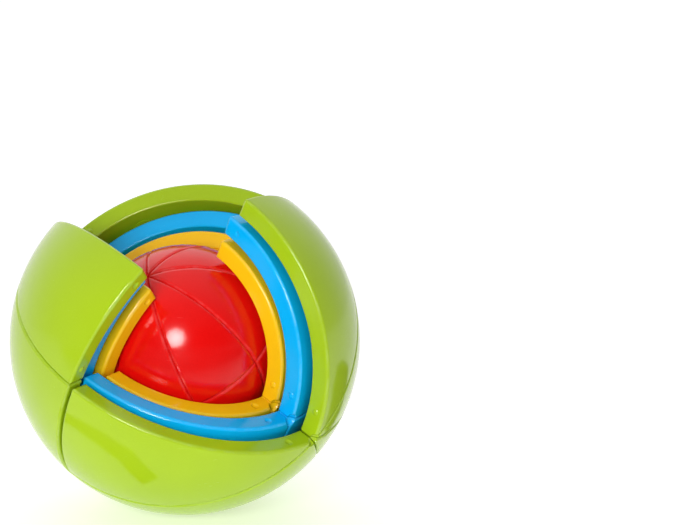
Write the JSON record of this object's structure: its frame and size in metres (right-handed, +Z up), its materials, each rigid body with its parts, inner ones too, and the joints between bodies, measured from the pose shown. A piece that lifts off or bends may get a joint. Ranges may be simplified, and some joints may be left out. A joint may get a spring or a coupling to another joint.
{
  "type": "layered ball puzzle",
  "caption": "Ball puzzle of nested shells cut into snap-fit curved wedges round a hollow core, standing part-way open; layers and core turn.",
  "frame": {"origin": "the point the ball rests on, straight below the centre of its outer sphere", "axes": "+Z up; -Y is the side with the front opening; the layers' pole axis runs from low at front right to high at back left"},
  "size_m": [0.12, 0.1154, 0.1121],
  "materials": {
    "green_plastic": "high-gloss moulded ABS",
    "blue_plastic": "high-gloss moulded ABS",
    "yellow_plastic": "high-gloss moulded ABS",
    "red_plastic": "high-gloss moulded ABS"
  },
  "bodies": {
    "green_south_wedge_b": {"green_south_wedge_b": "green_plastic"},
    "green_north_wedge_b": {"green_north_wedge_b": "green_plastic"},
    "green_north_wedge_a": {"green_north_wedge_a": "green_plastic"},
    "green_north_wedge_c": {"green_north_wedge_c": "green_plastic"},
    "green_north_wedge_d": {"green_north_wedge_d": "green_plastic"},
    "green_south_wedge_a": {"green_south_wedge_a": "green_plastic"},
    "green_south_wedge_c": {"green_south_wedge_c": "green_plastic"},
    "green_south_wedge_d": {"green_south_wedge_d": "green_plastic"},
    "green_south_wedge_e": {"green_south_wedge_e": "green_plastic"},
    "blue_south_wedge_b": {"blue_south_wedge_b": "blue_plastic"},
    "blue_north_wedge_b": {"blue_north_wedge_b": "blue_plastic"},
    "blue_north_wedge_a": {"blue_north_wedge_a": "blue_plastic"},
    "blue_north_wedge_c": {"blue_north_wedge_c": "blue_plastic"},
    "blue_south_wedge_a": {"blue_south_wedge_a": "blue_plastic"},
    "blue_south_wedge_c": {"blue_south_wedge_c": "blue_plastic"},
    "yellow_south_wedge_b": {"yellow_south_wedge_b": "yellow_plastic"},
    "yellow_north_wedge_b": {"yellow_north_wedge_b": "yellow_plastic"},
    "yellow_north_wedge_a": {"yellow_north_wedge_a": "yellow_plastic"},
    "yellow_north_wedge_c": {"yellow_north_wedge_c": "yellow_plastic"},
    "yellow_south_wedge_a": {"yellow_south_wedge_a": "yellow_plastic"},
    "yellow_south_wedge_c": {"yellow_south_wedge_c": "yellow_plastic"},
    "core": {"red_core_north_half": "red_plastic", "red_core_south_half": "red_plastic"}
  },
  "joints": [
    {"name": "green_north_half_turn", "type": "hinge", "parent": "green_south_wedge_b", "child": "green_north_wedge_b", "pos_m": [0, 0, 0.06], "axis": [-0.7179, 0.5083, 0.4756], "continuous": true},
    {"name": "green_north_wedge_a_pull", "type": "slide", "parent": "green_north_wedge_b", "child": "green_north_wedge_a", "axis": [-0.8274, -0.2487, 0.5036], "range_m": [0, 0.05]},
    {"name": "green_north_wedge_c_pull", "type": "slide", "parent": "green_north_wedge_b", "child": "green_north_wedge_c", "axis": [-0.3555, 0.9335, -0.0475], "range_m": [0, 0.05]},
    {"name": "green_north_wedge_d_pull", "type": "slide", "parent": "green_north_wedge_b", "child": "green_north_wedge_d", "axis": [-0.0169, 0.7668, 0.6417], "range_m": [0, 0.05]},
    {"name": "green_south_wedge_a_pull", "type": "slide", "parent": "green_south_wedge_b", "child": "green_south_wedge_a", "axis": [0.0169, -0.7668, -0.6417], "range_m": [0, 0.05]},
    {"name": "green_south_wedge_c_pull", "type": "slide", "parent": "green_south_wedge_b", "child": "green_south_wedge_c", "axis": [0.8274, 0.2487, -0.5036], "range_m": [0, 0.05]},
    {"name": "green_south_wedge_d_pull", "type": "slide", "parent": "green_south_wedge_b", "child": "green_south_wedge_d", "axis": [0.9984, 0.0479, -0.031], "range_m": [0, 0.05]},
    {"name": "green_south_wedge_e_pull", "type": "slide", "parent": "green_south_wedge_b", "child": "green_south_wedge_e", "axis": [0.8819, -0.3914, 0.2628], "range_m": [0, 0.05]},
    {"name": "blue_layer_turn", "type": "hinge", "parent": "green_south_wedge_b", "child": "blue_south_wedge_b", "pos_m": [0, 0, 0.06], "axis": [-0.696, 0.5758, 0.4289], "continuous": true},
    {"name": "blue_north_half_turn", "type": "hinge", "parent": "blue_south_wedge_b", "child": "blue_north_wedge_b", "pos_m": [0, 0, 0.06], "axis": [-0.696, 0.5758, 0.4289], "continuous": true},
    {"name": "blue_north_wedge_a_slide_round", "type": "hinge", "parent": "blue_north_wedge_b", "child": "blue_north_wedge_a", "pos_m": [0, 0, 0.06], "axis": [-0.696, 0.5758, 0.4289], "range_deg": [0, 40]},
    {"name": "blue_north_wedge_c_slide_round", "type": "hinge", "parent": "blue_north_wedge_b", "child": "blue_north_wedge_c", "pos_m": [0, 0, 0.06], "axis": [-0.696, 0.5758, 0.4289], "range_deg": [-40, 0]},
    {"name": "blue_south_wedge_a_slide_round", "type": "hinge", "parent": "blue_south_wedge_b", "child": "blue_south_wedge_a", "pos_m": [0, 0, 0.06], "axis": [-0.696, 0.5758, 0.4289], "range_deg": [0, 40]},
    {"name": "blue_south_wedge_c_slide_round", "type": "hinge", "parent": "blue_south_wedge_b", "child": "blue_south_wedge_c", "pos_m": [0, 0, 0.06], "axis": [-0.696, 0.5758, 0.4289], "range_deg": [-40, 0]},
    {"name": "yellow_layer_turn", "type": "hinge", "parent": "green_south_wedge_b", "child": "yellow_south_wedge_b", "pos_m": [0, 0, 0.06], "axis": [-0.7206, 0.5371, 0.4384], "continuous": true},
    {"name": "yellow_north_half_turn", "type": "hinge", "parent": "yellow_south_wedge_b", "child": "yellow_north_wedge_b", "pos_m": [0, 0, 0.06], "axis": [-0.7206, 0.5371, 0.4384], "continuous": true},
    {"name": "yellow_north_wedge_a_slide_round", "type": "hinge", "parent": "yellow_north_wedge_b", "child": "yellow_north_wedge_a", "pos_m": [0, 0, 0.06], "axis": [-0.7206, 0.5371, 0.4384], "range_deg": [0, 40]},
    {"name": "yellow_north_wedge_c_slide_round", "type": "hinge", "parent": "yellow_north_wedge_b", "child": "yellow_north_wedge_c", "pos_m": [0, 0, 0.06], "axis": [-0.7206, 0.5371, 0.4384], "range_deg": [-40, 0]},
    {"name": "yellow_south_wedge_a_slide_round", "type": "hinge", "parent": "yellow_south_wedge_b", "child": "yellow_south_wedge_a", "pos_m": [0, 0, 0.06], "axis": [-0.7206, 0.5371, 0.4384], "range_deg": [0, 40]},
    {"name": "yellow_south_wedge_c_slide_round", "type": "hinge", "parent": "yellow_south_wedge_b", "child": "yellow_south_wedge_c", "pos_m": [0, 0, 0.06], "axis": [-0.7206, 0.5371, 0.4384], "range_deg": [-40, 0]},
    {"name": "core_turn", "type": "hinge", "parent": "green_south_wedge_b", "child": "core", "pos_m": [0, 0, 0.06], "axis": [-0.3894, -0.5131, 0.7649], "continuous": true}
  ]
}
